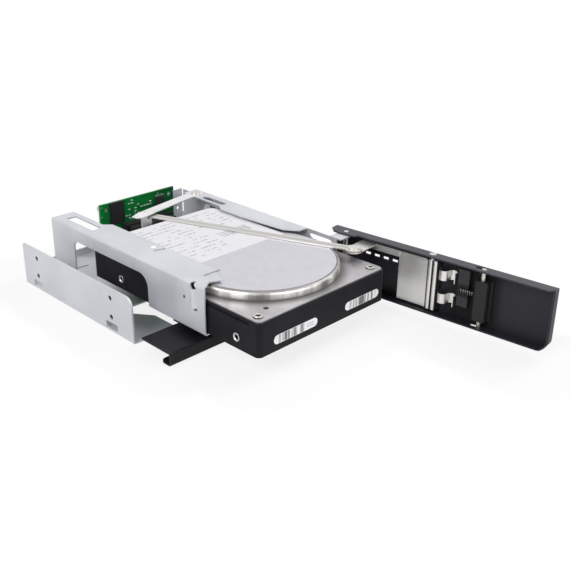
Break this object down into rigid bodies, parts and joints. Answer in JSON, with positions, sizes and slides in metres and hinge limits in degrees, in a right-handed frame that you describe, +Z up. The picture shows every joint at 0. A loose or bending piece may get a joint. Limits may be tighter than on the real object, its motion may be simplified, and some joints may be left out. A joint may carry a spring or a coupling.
{
  "type": "hot-swap drive backplane",
  "caption": "Trayless rack for a bay: folded cage on a tray, hinged door whose lever and link push a hard drive out from a rear circuit board with its sockets.",
  "frame": {"origin": "on the tray's underside, midway between the left and right rails and between the front and rear mounting holes", "axes": "+X to the right seen from the front, +Y to the back, +Z up"},
  "size_m": [0.1551, 0.2993, 0.0421],
  "materials": {
    "zinc_sheet": "zinc-coated sheet, satin",
    "bright_steel": "bright steel",
    "polished_steel": "polished sheet steel",
    "black_paint": "satin black powder coat",
    "black_casting": "black coated casting",
    "cover_metal": "satin aluminium",
    "paper": "printed paper label",
    "circuit_green": "green solder mask",
    "black_plastic": "matt black moulding",
    "small_parts": "soldered parts"
  },
  "bodies": {
    "frame": {"base_tray": "zinc_sheet", "left_side_wall": "zinc_sheet", "right_side_wall": "zinc_sheet", "chassis_rivets": "bright_steel", "front_trim": "black_paint", "trim_rivets": "bright_steel", "hinge_pin": "bright_steel", "lever_rivet": "bright_steel", "rear_plate": "zinc_sheet", "board_spacers": "bright_steel", "backplane_board": "circuit_green", "board_screws": "bright_steel", "drive_socket": "black_plastic", "data_port": "black_plastic", "power_port": "black_plastic", "board_tape": "black_plastic", "board_parts": "small_parts"},
    "drive": {"drive_base": "black_casting", "drive_board": "circuit_green", "drive_plug": "black_plastic", "drive_cover": "cover_metal", "drive_label": "paper", "front_stickers": "paper", "cover_screws": "bright_steel"},
    "lever": {"eject_lever": "bright_steel", "link_joint_rivet": "bright_steel"},
    "link": {"pull_link": "bright_steel", "link_pin": "bright_steel"},
    "door": {"door_panel": "black_paint", "door_bracket": "polished_steel", "bracket_rivets": "bright_steel", "spring_fingers": "polished_steel", "latch_block": "black_plastic", "latch_spring": "bright_steel"},
    "latch": {"latch_sleeve": "black_plastic", "latch_pin": "bright_steel", "latch_carriage": "black_plastic", "latch_thumb": "black_plastic"}
  },
  "joints": [
    {"name": "door_hinge", "type": "hinge", "parent": "frame", "child": "door", "pos_m": [0.0625, -0.097, 0.02], "axis": [0, 0, 1], "range_deg": [-95, 0]},
    {"name": "drive_slide", "type": "slide", "parent": "frame", "child": "drive", "axis": [0, 1, 0], "range_m": [0, 0.0401]},
    {"name": "lever_pivot", "type": "hinge", "parent": "frame", "child": "lever", "pos_m": [0.045, 0.0265, 0.041], "axis": [0, 0, 1], "range_deg": [-45.1, 0.1]},
    {"name": "link_pivot", "type": "hinge", "parent": "lever", "child": "link", "pos_m": [-0.00438, 0.01868, 0.0393], "axis": [0, 0, 1], "range_deg": [-0.1, 39.3]},
    {"name": "latch_slide", "type": "slide", "parent": "door", "child": "latch", "axis": [-0.0872, 0.9962, 0], "range_m": [0, 0.0035], "stiffness_N_per_m": 600, "springref_m": -0.004, "deforming": ["latch_spring"]}
  ],
  "couplings": [
    {"joint": "drive_slide", "follows": "door_hinge", "m_per_rad": -0.024125},
    {"joint": "lever_pivot", "follows": "door_hinge", "ratio": 0.47368},
    {"joint": "link_pivot", "follows": "door_hinge", "ratio": -0.4117}
  ]
}
